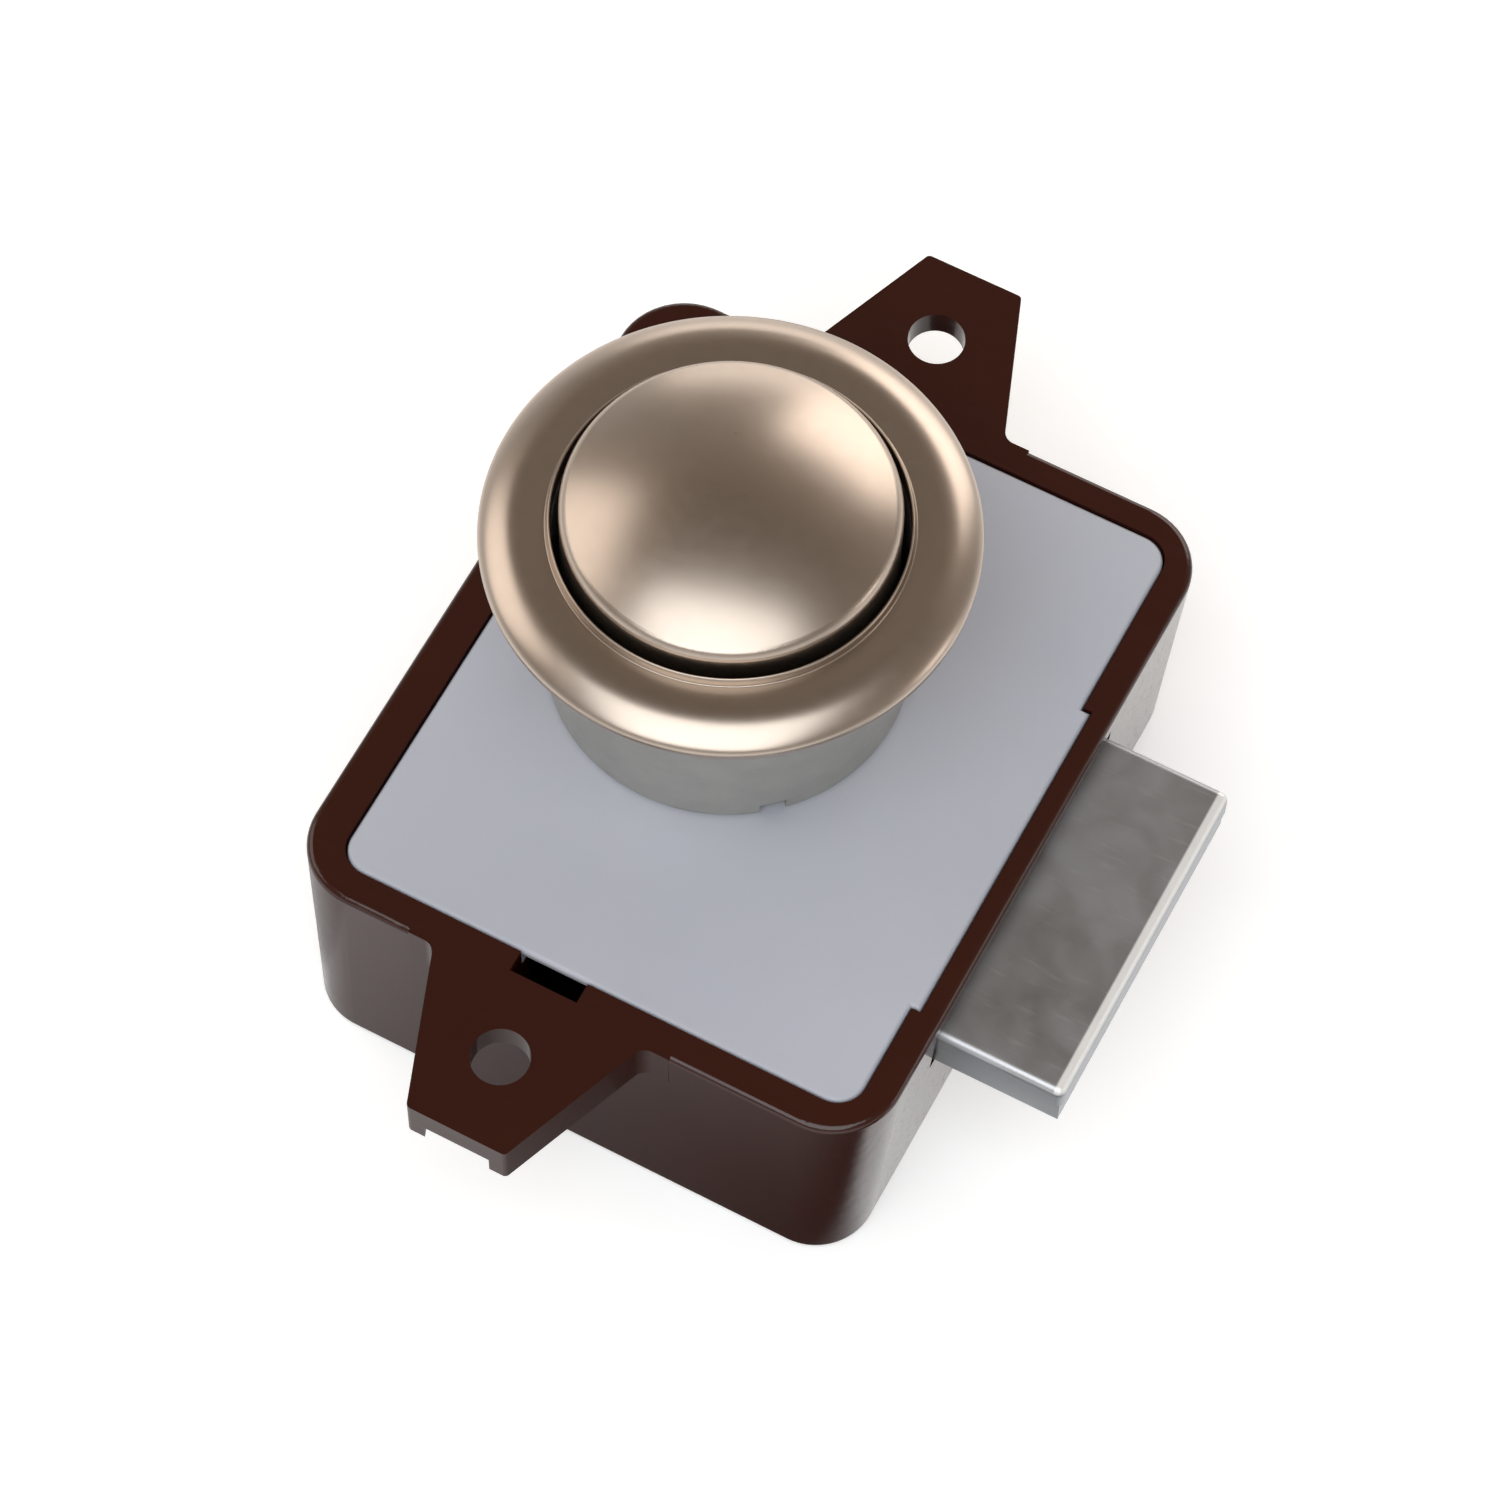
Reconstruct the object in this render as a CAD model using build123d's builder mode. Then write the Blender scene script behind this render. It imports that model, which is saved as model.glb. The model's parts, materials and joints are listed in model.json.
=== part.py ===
"""Push button cabinet lock, in millimetres.

The origin is on the button's axis in the plane of the case's rim, which is the plane that lies
against the back of the cabinet door. +Z points out through the door, towards the button, +X points
the way the bolt is thrown, and the two screw ears stand out along -Y and +Y.
The lock is drawn as the photograph shows it: button in and latched, bolt thrown.
"""

import os
from math import atan2, cos, hypot, pi, sin, sqrt

from build123d import *

os.makedirs("parts", exist_ok=True)

# Case: a moulded tub, open at the rim, with the button's axis away from its middle
case_front_reach = 29.7
case_back_reach = 24.9
case_depth = 21.8
corner_radius = 5.2
foot_corner_radius = 4.4
wall_draft = 0.25
bolt_wall_draft = 1.3
floor_thickness = 2.0
rim_left = 3.0
rim_back = 2.2
rim_front = 2.4
rim_right = 2.3
rim_over_bolt = 1.6
ledge_width = 0.9
rim_rounding = 0.45
foot_rounding = 0.8

# Screw ears
ear_centre_x = 1.1
ear_length = 11.4
ear_root_width = 16.3
ear_end_width = 7.6
ear_thickness = 2.2
ear_rib_depth = 3.7
ear_rib_width = 1.3
ear_root_radius = 1.0
ear_end_radius = 0.4
ear_screw_radius = 2.1
ear_screw_distance = 5.2

# Cover plate
plate_thickness = 1.9
plate_drop = 0.1
plate_gap = 0.12
plate_rounding = 0.35
window_width = 5.2
window_reach = 1.6
window_depth = 12.0
window_relief = 1.3
snap_spread = 5.6
snap_width = 3.0
snap_finger_thickness = 0.8
snap_finger_length = 2.2
snap_barb_reach = 0.7
snap_barb_height = 1.0
snap_gap = 0.2

# Door panel sleeve and rosette
sleeve_wall = 0.7
sleeve_spigot_inset = 0.3
sleeve_stand_off = 0.1
sleeve_engagement = 2.2
sleeve_chamfer = 0.2
sleeve_notch_width = 1.9
sleeve_notch_height = 1.2
sleeve_notch_turn = -48
thread_gap = 0.08
door_min_thickness = 15.0
rosette_overhang = 4.3
rosette_foot_radius = 1.2
rosette_bead_radius = 1.9
rosette_bead_turn = 45
rosette_lip_height = 4.2
rosette_lip_step = 1.3
rosette_lip_width = 0.5

# Threaded barrel
barrel_wall = 3.17
barrel_height = 7.0
barrel_flange_width = 1.7
barrel_flange_thickness = 0.8
barrel_gap = 0.05
thread_pitch = 1.5
thread_depth = 0.45
thread_start = 1.0

# Plunger
plunger_radius = 8.9
plunger_gap = 0.05
plunger_foot_height = 2.2
plunger_flat_distance = 5.6
button_travel = 8.8
button_overtravel = 1.2
spigot_radius = 4.0
spigot_height = 3.0
screw_seat_depth = 7.0
cam_groove_depth = 1.5
cam_groove_gap = 0.15
cam_end_gap = 0.2

# Bolt
bolt_width = 26.4
bolt_centre_y = -5.2
bolt_throw = 9.4
bolt_thickness = 4.8
bolt_drop = 2.4
bolt_edge_radius = 0.55
bolt_foot_radius = 0.35
bolt_corner_radius = 0.6
bolt_parting_drop = 2.0
bolt_parting_inset = 0.25
bolt_slot_gap = 0.3
bolt_stop_gap = 0.3
bolt_web = 3.4
bolt_shoulder = 2.1
bolt_shoulder_length = 7.4
fork_gap = 0.3
fork_end_gap = 0.5
fork_arm_width = 4.0
fork_end_wall = 2.1
rail_width = 1.5
rail_gap = 0.15

# Cam pins
cam_pin_radius = 1.2
cam_pin_length = 5.2
cam_pin_rest_x = 3.8
cam_pin_tip_gap = 0.25

# Button
button_gap = 0.55
button_rise = 1.3
button_dome_height = 2.7
button_edge_radius = 0.9
button_wall = 0.8
button_skirt_gap = 1.5
insert_gap = 0.05
insert_drop = 0.5
insert_wall = 1.6
insert_rib_width = 1.4

# Return spring
spring_wire_radius = 0.35
spring_mean_radius = 2.3
spring_turns = 8
spring_bore_radius = 3.0
spring_post_radius = 1.5
spring_post_height = 5.0
washer_thickness = 0.5
washer_gap = 0.15

# Button screw
screw_head_radius = 2.6
screw_head_height = 1.8
screw_shank_radius = 1.5
screw_length = 15.0
screw_gap = 0.05
screw_recess_width = 0.6
screw_recess_length = 3.0
screw_recess_depth = 0.8

# Push-push latch: a heart-shaped track in the plunger and a wire that follows it
track_flat_depth = 0.7
track_depth = 1.4
track_half_width = 3.1
latch_height = 5.1
latch_gap = 0.2
wire_radius = 0.5
wire_stand_off = 0.4
wire_bend_radius = 1.0
wire_root_depth = 2.1
wire_gap = 0.05
latch_boss_height = 2.6
latch_boss_half_length = 2.6
latch_boss_gap = 0.3

# Leaf spring that keeps the wire in its track
leaf_thickness = 0.3
leaf_half_width = 1.8
leaf_foot_length = 4.2
leaf_foot_gap = 0.25
leaf_contact_gap = 0.05
leaf_bend_radius = 0.6
leaf_rise = 6.0
leaf_tail = 2.2
leaf_screw_head_radius = 1.5
leaf_screw_head_height = 1.0
leaf_screw_shank_radius = 0.8
leaf_screw_length = 2.4
leaf_screw_slot_width = 0.5
leaf_screw_slot_depth = 0.45
leaf_screw_rounding = 0.3

overrun = 1.0

# Left of the button's axis stand the latch wire, its leaf spring and the case wall
boss_front_x = -plunger_radius - latch_boss_gap
wire_x = -plunger_radius - wire_stand_off - wire_radius
leaf_face_x = wire_x - wire_radius - leaf_contact_gap
leaf_foot_x = leaf_face_x - leaf_bend_radius
leaf_end_x = leaf_foot_x - leaf_foot_length
screw_x = leaf_foot_x - leaf_foot_length / 2
cavity_left = leaf_end_x - leaf_foot_gap
seat_left = cavity_left - ledge_width
x_left = seat_left - rim_left

# Right of it the bolt's fork keeps clear of the plunger when drawn in, and stops on the wall
fork_half = plunger_flat_distance + fork_gap
arm_outer = fork_half + fork_arm_width
arm_end_x = cam_pin_rest_x - cam_pin_radius - fork_end_wall
fork_end_x = plunger_radius + button_travel + fork_end_gap
shoulder_x = fork_end_x + bolt_web
cavity_right = shoulder_x + button_overtravel + bolt_stop_gap
seat_right = cavity_right + ledge_width
x_right = seat_right + rim_right
bolt_tip_x = x_right + bolt_throw

# The case's other walls, and heights
y_front = -case_front_reach
y_back = case_back_reach
floor_z = floor_thickness - case_depth
seat_depth = plate_drop + plate_thickness
seat_front = y_front + rim_front
seat_back = y_back - rim_back
seat_radius = corner_radius - rim_left
cavity_front = seat_front + ledge_width
cavity_back = seat_back - ledge_width
bolt_low_y = bolt_centre_y - bolt_width / 2
bolt_high_y = bolt_centre_y + bolt_width / 2
bolt_bottom_z = -bolt_drop - bolt_thickness
bolt_middle_z = -bolt_drop - bolt_thickness / 2
bolt_parting_z = -bolt_drop - bolt_parting_drop
plunger_foot_z = floor_z + plunger_foot_height
plunger_top_z = barrel_height + button_skirt_gap + insert_drop
latch_z = -latch_height
barrel_bore_radius = plunger_radius + plunger_gap
barrel_radius = barrel_bore_radius + barrel_wall
sleeve_bore_radius = barrel_radius + thread_gap
sleeve_radius = sleeve_bore_radius + sleeve_wall
sleeve_spigot_radius = sleeve_radius - sleeve_spigot_inset
rosette_radius = sleeve_radius + rosette_overhang
button_radius = sleeve_bore_radius - button_gap
sleeve_foot_z = -plate_drop + sleeve_stand_off
sleeve_top_z = door_min_thickness + sleeve_engagement


def rectangle_between(low_x, high_x, low_y, high_y, radius=0):
    """Draw a rectangle, rounded if a radius is given, between two corners."""
    with Locations(((low_x + high_x) / 2, (low_y + high_y) / 2)):
        if radius > 0:
            RectangleRounded(high_x - low_x, high_y - low_y, radius)
        else:
            Rectangle(high_x - low_x, high_y - low_y)


def seat_outline(gap):
    """Draw the outline that the cover plate fills: a rounded rectangle with a tongue over the bolt."""
    rectangle_between(
        seat_left + gap, seat_right - gap, seat_front + gap, seat_back - gap, seat_radius - gap
    )
    rectangle_between(
        seat_right - rim_right, x_right - rim_over_bolt - gap, bolt_low_y + gap, bolt_high_y - gap
    )


# Case
ear_slope = (ear_root_width - ear_end_width) / 2 / ear_length
ear_sides = ((y_front, -1), (y_back, 1))
seat_sides = ((seat_front, -1), (seat_back, 1))
snap_barb_top_z = -seat_depth - snap_finger_length + snap_barb_height
snap_foot_z = -seat_depth - snap_finger_length


def ear_outline(wall_y, side, inset, root):
    """Draw one ear, tapered from the case wall outwards, its sloping sides moved in by the inset."""
    end_y = wall_y + side * ear_length
    root_half = ear_root_width / 2 - inset + ear_slope * root
    end_half = ear_end_width / 2 - inset
    Polygon(
        (ear_centre_x - root_half, wall_y - side * root),
        (ear_centre_x + root_half, wall_y - side * root),
        (ear_centre_x + end_half, end_y),
        (ear_centre_x - end_half, end_y),
        align=None,
    )


with BuildPart() as case:
    with BuildSketch(Plane.XY.offset(-case_depth)):
        rectangle_between(
            x_left + wall_draft,
            x_right - bolt_wall_draft,
            y_front + wall_draft,
            y_back - wall_draft,
            foot_corner_radius,
        )
    with BuildSketch():
        rectangle_between(x_left, x_right, y_front, y_back, corner_radius)
    loft()
    fillet(case.faces().sort_by(Axis.Z)[0].edges(), foot_rounding)
    fillet(case.faces().sort_by(Axis.Z)[-1].edges(), rim_rounding)

    # Ears: a slab whose sloping sides turn down into ribs
    for wall_y, side in ear_sides:
        with BuildSketch() as ear_sketch:
            ear_outline(wall_y, side, 0, rim_front / 2)
            rectangle_between(
                ear_centre_x - ear_root_width / 2 - 2 * ear_root_radius,
                ear_centre_x + ear_root_width / 2 + 2 * ear_root_radius,
                *sorted((wall_y, wall_y - side * rim_front / 2)),
            )
            fillet(
                ear_sketch.vertices().sort_by_distance((ear_centre_x, wall_y))[0:2],
                ear_root_radius,
            )
        extrude(amount=-ear_rib_depth)
        with BuildSketch(Plane.XY.offset(-ear_thickness)):
            ear_outline(wall_y, side, ear_rib_width, 0)
            rectangle_between(
                ear_centre_x - ear_end_width / 2 + ear_rib_width,
                ear_centre_x + ear_end_width / 2 - ear_rib_width,
                *sorted((wall_y + side * ear_length / 2, wall_y + side * (ear_length + overrun))),
            )
        extrude(amount=-(ear_rib_depth - ear_thickness + overrun), mode=Mode.SUBTRACT)
    ear_corners = case.edges().filter_by(Axis.Z).filter_by(
        lambda edge: min(abs(edge.center().Y - y_front + ear_length), abs(edge.center().Y - y_back - ear_length))
        < ear_end_radius
    ).filter_by(lambda edge: abs(edge.center().X - ear_centre_x) > ear_end_width / 2 - ear_end_radius)
    fillet(ear_corners, ear_end_radius)
    with Locations(
        *[(ear_centre_x, wall_y + side * ear_screw_distance, 0) for wall_y, side in ear_sides]
    ):
        Hole(ear_screw_radius)

    # Seat of the cover plate, and the room below it
    with BuildSketch():
        seat_outline(0)
    extrude(amount=-seat_depth, mode=Mode.SUBTRACT)
    with BuildSketch(Plane.XY.offset(floor_z)):
        rectangle_between(
            cavity_left, cavity_right, cavity_front, cavity_back, seat_radius - ledge_width
        )
    extrude(amount=-floor_z, mode=Mode.SUBTRACT)

    # Slot for the bolt
    with BuildSketch(Plane.YZ.offset(cavity_right - overrun)):
        with Locations((bolt_centre_y, bolt_middle_z)):
            Rectangle(bolt_width + 2 * bolt_slot_gap, bolt_thickness + 2 * bolt_slot_gap)
    extrude(amount=x_right - cavity_right + 2 * overrun, mode=Mode.SUBTRACT)

    # Windows at the roots of the ears, open to the room, and beside them recesses for the barbs
    for seat_y, side in seat_sides:
        cavity_y = seat_y - side * ledge_width
        with BuildSketch():
            rectangle_between(
                ear_centre_x - window_width / 2,
                ear_centre_x + window_width / 2,
                *sorted((cavity_y - side * overrun, seat_y + side * window_reach)),
            )
        extrude(amount=-window_depth, mode=Mode.SUBTRACT)
        with BuildSketch(Plane.XY.offset(snap_barb_top_z + snap_gap)):
            with Locations(
                (ear_centre_x - snap_spread, cavity_y), (ear_centre_x + snap_spread, cavity_y)
            ):
                Rectangle(snap_width + 2 * snap_gap, 2 * snap_barb_reach)
        extrude(amount=-snap_barb_height - 2 * snap_gap, mode=Mode.SUBTRACT)

    # Rails under the bolt, standing on the floor
    arm_middle_y = fork_half + fork_arm_width / 2
    rail_left = arm_end_x - button_travel
    for rail_y, rail_start in (
        (arm_middle_y, rail_left),
        (-arm_middle_y, rail_left),
        (bolt_low_y, cavity_right - bolt_shoulder_length - button_travel),
    ):
        with BuildSketch(Plane.XY.offset(floor_z)):
            rectangle_between(
                rail_start, cavity_right, rail_y - rail_width / 2, rail_y + rail_width / 2
            )
        extrude(amount=bolt_bottom_z - rail_gap - floor_z)

    # Post inside the return spring
    with Locations((0, 0, floor_z)):
        Cylinder(
            spring_post_radius,
            spring_post_height,
            align=(Align.CENTER, Align.CENTER, Align.MIN),
        )

    # Boss that holds the latch wire and carries the leaf spring
    with BuildSketch(Plane.XY.offset(floor_z)):
        rectangle_between(
            leaf_end_x,
            boss_front_x,
            -latch_boss_half_length,
            latch_boss_half_length,
        )
    extrude(amount=latch_boss_height)
    with Locations((wire_x, 0, floor_z + latch_boss_height)):
        Hole(wire_radius + wire_gap, depth=wire_root_depth + wire_gap)
    with Locations((screw_x, 0, floor_z + latch_boss_height)):
        Hole(leaf_screw_shank_radius, depth=leaf_screw_length)
case.part.label = "case"

# Cover plate
with BuildPart() as cover_plate:
    with BuildSketch(Plane.XY.offset(-seat_depth)):
        seat_outline(plate_gap)
    extrude(amount=plate_thickness)
    fillet(cover_plate.faces().sort_by(Axis.Z)[-1].edges(), plate_rounding)
    with Locations((0, 0, -plate_drop)):
        Hole(barrel_radius + barrel_gap)
    with BuildSketch(Plane.XY.offset(-seat_depth)):
        Circle(barrel_radius + barrel_flange_width + barrel_gap)
    extrude(amount=barrel_flange_thickness + barrel_gap, mode=Mode.SUBTRACT)

    for seat_y, side in seat_sides:
        # The plate's edge is thinned where it bridges the window
        with BuildSketch(Plane.XY.offset(-seat_depth)):
            rectangle_between(
                ear_centre_x - window_width / 2,
                ear_centre_x + window_width / 2,
                *sorted((seat_y - side * (ledge_width + plate_gap), seat_y)),
            )
        extrude(amount=window_relief, mode=Mode.SUBTRACT)

        # Snap fingers under the plate's two short edges, each with a barb that turns outwards
        finger_y = seat_y - side * (ledge_width + snap_gap)
        for finger_x in (ear_centre_x - snap_spread, ear_centre_x + snap_spread):
            with BuildSketch(Plane.YZ.offset(finger_x - snap_width / 2)):
                with BuildLine():
                    Polyline(
                        (finger_y, -seat_depth),
                        (finger_y, snap_barb_top_z),
                        (finger_y + side * snap_barb_reach, snap_barb_top_z),
                        (finger_y, snap_foot_z),
                        (finger_y - side * snap_finger_thickness, snap_foot_z),
                        (finger_y - side * snap_finger_thickness, -seat_depth),
                        close=True,
                    )
                make_face()
            extrude(amount=snap_width)
cover_plate.part.label = "cover_plate"

# Threaded barrel, with a flange trapped under the cover plate
thread_rows = int((barrel_height - thread_start - thread_pitch / 2) / thread_pitch)
with BuildPart() as threaded_barrel:
    with BuildSketch(Plane.XZ):
        with BuildLine():
            Polyline(
                (barrel_bore_radius, -seat_depth),
                (barrel_radius + barrel_flange_width, -seat_depth),
                (barrel_radius + barrel_flange_width, -seat_depth + barrel_flange_thickness),
                (barrel_radius, -seat_depth + barrel_flange_thickness),
                (barrel_radius, barrel_height - thread_depth),
                (barrel_radius - thread_depth, barrel_height),
                (barrel_bore_radius, barrel_height),
                close=True,
            )
        make_face()
    revolve(axis=Axis.Z)
    with BuildSketch(Plane.XZ):
        for row in range(thread_rows):
            groove_z = thread_start + row * thread_pitch
            with BuildLine():
                Polyline(
                    (barrel_radius, groove_z),
                    (barrel_radius - thread_depth, groove_z + thread_pitch / 4),
                    (barrel_radius - thread_depth, groove_z + thread_pitch / 2),
                    (barrel_radius, groove_z + thread_pitch * 3 / 4),
                    close=True,
                )
            make_face()
    revolve(axis=Axis.Z, mode=Mode.SUBTRACT)
threaded_barrel.part.label = "threaded_barrel"

# Rosette: a plated ring on the door's face, its rolled bead and raised lip drawn in section
lip_top_z = door_min_thickness + rosette_lip_height
lip_outer_radius = sleeve_bore_radius + rosette_lip_width
lip_shoulder_z = lip_top_z - rosette_lip_width / 2
bead_z = door_min_thickness + rosette_foot_radius
bead_centre_radius = rosette_radius - rosette_bead_radius
bead_turn = rosette_bead_turn * pi / 180
bead_end = (
    bead_centre_radius - rosette_bead_radius * sin(bead_turn),
    bead_z + rosette_bead_radius * cos(bead_turn),
)
with BuildPart() as rosette:
    with BuildSketch(Plane.XZ):
        with BuildLine():
            Polyline(
                (rosette_radius - rosette_foot_radius, door_min_thickness),
                (sleeve_spigot_radius, door_min_thickness),
                (sleeve_spigot_radius, sleeve_top_z),
                (sleeve_bore_radius, sleeve_top_z),
                (sleeve_bore_radius, lip_shoulder_z),
            )
            ThreePointArc(
                (sleeve_bore_radius, lip_shoulder_z),
                (sleeve_bore_radius + rosette_lip_width / 2, lip_top_z),
                (lip_outer_radius, lip_shoulder_z),
            )
            Line((lip_outer_radius, lip_shoulder_z), (lip_outer_radius, lip_top_z - rosette_lip_step))
            TangentArc(
                bead_end,
                (lip_outer_radius, lip_top_z - rosette_lip_step),
                tangent=(-cos(bead_turn), -sin(bead_turn)),
            )
            TangentArc(
                bead_end, (rosette_radius, bead_z), tangent=(cos(bead_turn), sin(bead_turn))
            )
            TangentArc(
                (rosette_radius, bead_z),
                (rosette_radius - rosette_foot_radius, door_min_thickness),
                tangent=(0, -1),
            )
        make_face()
    revolve(axis=Axis.Z)
rosette.part.label = "rosette"

# Rosette sleeve: a turned tube pressed into the ring, with two notches in its foot for a spanner
with BuildPart() as rosette_sleeve:
    with BuildSketch(Plane.XY.offset(sleeve_foot_z)):
        Circle(sleeve_radius)
        Circle(sleeve_bore_radius, mode=Mode.SUBTRACT)
    extrude(amount=door_min_thickness - sleeve_foot_z)
    with BuildSketch(Plane.XY.offset(door_min_thickness)):
        Circle(sleeve_spigot_radius)
        Circle(sleeve_bore_radius, mode=Mode.SUBTRACT)
    extrude(amount=sleeve_engagement)
    foot_edges = rosette_sleeve.faces().sort_by(Axis.Z)[0].edges()
    chamfer(foot_edges.sort_by(SortBy.RADIUS)[-1], sleeve_chamfer)
    with BuildSketch(Plane.XY.offset(sleeve_foot_z)):
        with Locations(Rotation(0, 0, sleeve_notch_turn)):
            Rectangle(2 * sleeve_radius + overrun, sleeve_notch_width)
    extrude(amount=sleeve_notch_height, mode=Mode.SUBTRACT)
rosette_sleeve.part.label = "rosette_sleeve"

# Plunger: a round stem with two flats for the bolt's fork and a flat for the latch
flat_top_z = 0
cam_start_x = cam_pin_rest_x + button_overtravel + cam_end_gap
cam_end_x = cam_pin_rest_x - button_travel - cam_end_gap
cam_groove_half_width = cam_pin_radius + cam_groove_gap
cam_floor_y = plunger_flat_distance - cam_groove_depth
track_flat_x = track_flat_depth - plunger_radius
track_floor_x = track_flat_x + track_depth
track_top = button_overtravel + wire_radius + latch_gap
track_foot = button_travel + wire_radius + latch_gap

# The heart stands in the track under the wire's rest place, its cleft uppermost
heart_top = wire_radius
heart_width_shares = (0, 0.32, 0.55, 0, -0.55, -0.32)
heart_height_shares = (-0.01, 0.06, -0.06, -0.78, -0.06, 0.06)
track_width_shares = (-1, -0.6, 0.1, 0.6, 1, 1, 0.27, 0.27, -0.27, -0.27, -1)
track_top_shares = (0.55, 1, 0.72, 1, 0.55, 0, 0, 0, 0, 0, 0)
track_foot_shares = (0, 0, 0, 0, 0, 0.15, 0.8, 1, 1, 0.8, 0.15)

with BuildPart() as plunger:
    with Locations((0, 0, plunger_foot_z)):
        Cylinder(
            plunger_radius,
            plunger_top_z - plunger_foot_z,
            align=(Align.CENTER, Align.CENTER, Align.MIN),
        )
    with Locations((0, 0, plunger_top_z)):
        Cylinder(
            spigot_radius, spigot_height, align=(Align.CENTER, Align.CENTER, Align.MIN)
        )
    for side in (-1, 1):
        with BuildSketch(Plane.XY.offset(flat_top_z)):
            rectangle_between(
                -plunger_radius,
                plunger_radius,
                *sorted((side * plunger_flat_distance, side * (plunger_radius + overrun))),
            )
        extrude(amount=plunger_foot_z - flat_top_z - overrun, mode=Mode.SUBTRACT)

        # Slanted groove that draws the bolt's pin inwards as the plunger rises
        with BuildSketch(Plane.XZ.offset(-side * plunger_flat_distance)):
            with Locations(
                Location(
                    (
                        (cam_start_x + cam_end_x) / 2,
                        bolt_middle_z + (cam_start_x + cam_end_x) / 2 - cam_pin_rest_x,
                    ),
                    45,
                )
            ):
                SlotCenterToCenter(
                    (cam_start_x - cam_end_x) * sqrt(2), 2 * cam_groove_half_width
                )
        extrude(amount=side * cam_groove_depth, mode=Mode.SUBTRACT)

    # Flat and heart-shaped track for the latch wire
    with BuildSketch(Plane.YZ.offset(track_flat_x)):
        rectangle_between(
            -track_half_width - latch_gap,
            track_half_width + latch_gap,
            plunger_foot_z - overrun,
            latch_z + track_top + latch_gap,
        )
    extrude(amount=-track_flat_depth - overrun, mode=Mode.SUBTRACT)
    with BuildSketch(Plane.YZ.offset(track_flat_x)):
        with BuildLine():
            Polyline(
                *[
                    (wide * track_half_width, latch_z + high * track_top - low * track_foot)
                    for wide, high, low in zip(
                        track_width_shares, track_top_shares, track_foot_shares
                    )
                ],
                close=True,
            )
        make_face()
        with BuildLine():
            Polyline(
                *[
                    (wide * track_half_width, latch_z - heart_top + high * track_foot)
                    for wide, high in zip(heart_width_shares, heart_height_shares)
                ],
                close=True,
            )
        make_face(mode=Mode.SUBTRACT)
    extrude(amount=track_depth, mode=Mode.SUBTRACT)

    # Bore of the return spring and hole of the button's screw
    screw_seat_z = plunger_top_z - screw_seat_depth
    with Locations((0, 0, plunger_foot_z)):
        Cylinder(
            spring_bore_radius,
            screw_seat_z - plunger_foot_z,
            align=(Align.CENTER, Align.CENTER, Align.MIN),
            mode=Mode.SUBTRACT,
        )
    with Locations((0, 0, plunger_top_z + spigot_height)):
        Hole(screw_shank_radius + screw_gap)
    chamfer(
        plunger.faces().sort_by(Axis.Z)[0].edges().filter_by(GeomType.CIRCLE).sort_by(SortBy.RADIUS)[0:1],
        washer_gap,
    )
plunger.part.label = "plunger"

# Screw that ties the plunger to the button, driven from below
screw_head_z = screw_seat_z - screw_head_height
with BuildPart() as button_screw:
    with Locations((0, 0, screw_head_z)):
        Cylinder(
            screw_head_radius, screw_head_height, align=(Align.CENTER, Align.CENTER, Align.MIN)
        )
    with Locations((0, 0, screw_seat_z)):
        Cylinder(
            screw_shank_radius, screw_length, align=(Align.CENTER, Align.CENTER, Align.MIN)
        )
    fillet(button_screw.faces().sort_by(Axis.Z)[0].edges(), screw_recess_width)
    with BuildSketch(Plane.XY.offset(screw_head_z)):
        Rectangle(screw_recess_length, screw_recess_width)
        Rectangle(screw_recess_width, screw_recess_length)
    extrude(amount=screw_recess_depth, mode=Mode.SUBTRACT)
button_screw.part.label = "button_screw"

# Washer between the screw's head and the return spring
washer_z = screw_head_z - washer_thickness
with BuildPart() as spring_washer:
    with BuildSketch(Plane.XY.offset(washer_z)):
        Circle(spring_bore_radius - washer_gap)
        Circle(spring_post_radius, mode=Mode.SUBTRACT)
    extrude(amount=washer_thickness)
spring_washer.part.label = "spring_washer"


# Return spring: one unbroken tube, its turns drawn by a loop
def spring_point(turn, pitch, foot_z):
    """Place and direction of the wire's centre line after a number of turns."""
    angle = 2 * pi * turn
    run = hypot(2 * pi * spring_mean_radius, pitch)
    place = Vector(
        spring_mean_radius * cos(angle), spring_mean_radius * sin(angle), foot_z + pitch * turn
    )
    heading = Vector(
        -2 * pi * spring_mean_radius * sin(angle) / run,
        2 * pi * spring_mean_radius * cos(angle) / run,
        pitch / run,
    )
    return place, heading


def biarc(start, start_heading, end, end_heading):
    """Join two points by two arcs that share a tangent where they meet."""
    chord = end - start
    both = start_heading + end_heading
    share = 4 - both.dot(both)
    reach = (sqrt(chord.dot(both) ** 2 + share * chord.dot(chord)) - chord.dot(both)) / share
    first = start + start_heading * reach
    second = end - end_heading * reach
    middle = (first + second) * 0.5
    TangentArc(start, middle, tangent=start_heading)
    TangentArc(middle, end, tangent=second - first)


spring_foot_z = floor_z + spring_wire_radius
spring_head_z = washer_z - spring_wire_radius
spring_pitch = (spring_head_z - spring_foot_z) / spring_turns
with BuildPart() as return_spring:
    with BuildLine() as spring_path:
        for quarter in range(4 * spring_turns):
            biarc(
                *spring_point(quarter / 4, spring_pitch, spring_foot_z),
                *spring_point((quarter + 1) / 4, spring_pitch, spring_foot_z),
            )
    with BuildSketch(spring_path.line ^ 0):
        Circle(spring_wire_radius)
    sweep(path=spring_path.line)
return_spring.part.label = "return_spring"

# Least gap of the spring to itself, measured on points of the centre line
spring_samples = 48
spring_line = [
    spring_point(step / spring_samples, spring_pitch, spring_foot_z)[0]
    for step in range(spring_turns * spring_samples + 1)
]
spring_gap = min(
    (a - b).length - 2 * spring_wire_radius
    for row, a in enumerate(spring_line)
    for b in spring_line[row + spring_samples // 2 :]
)
print("spring least gap to itself, mm:", round(spring_gap, 3))

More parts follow.
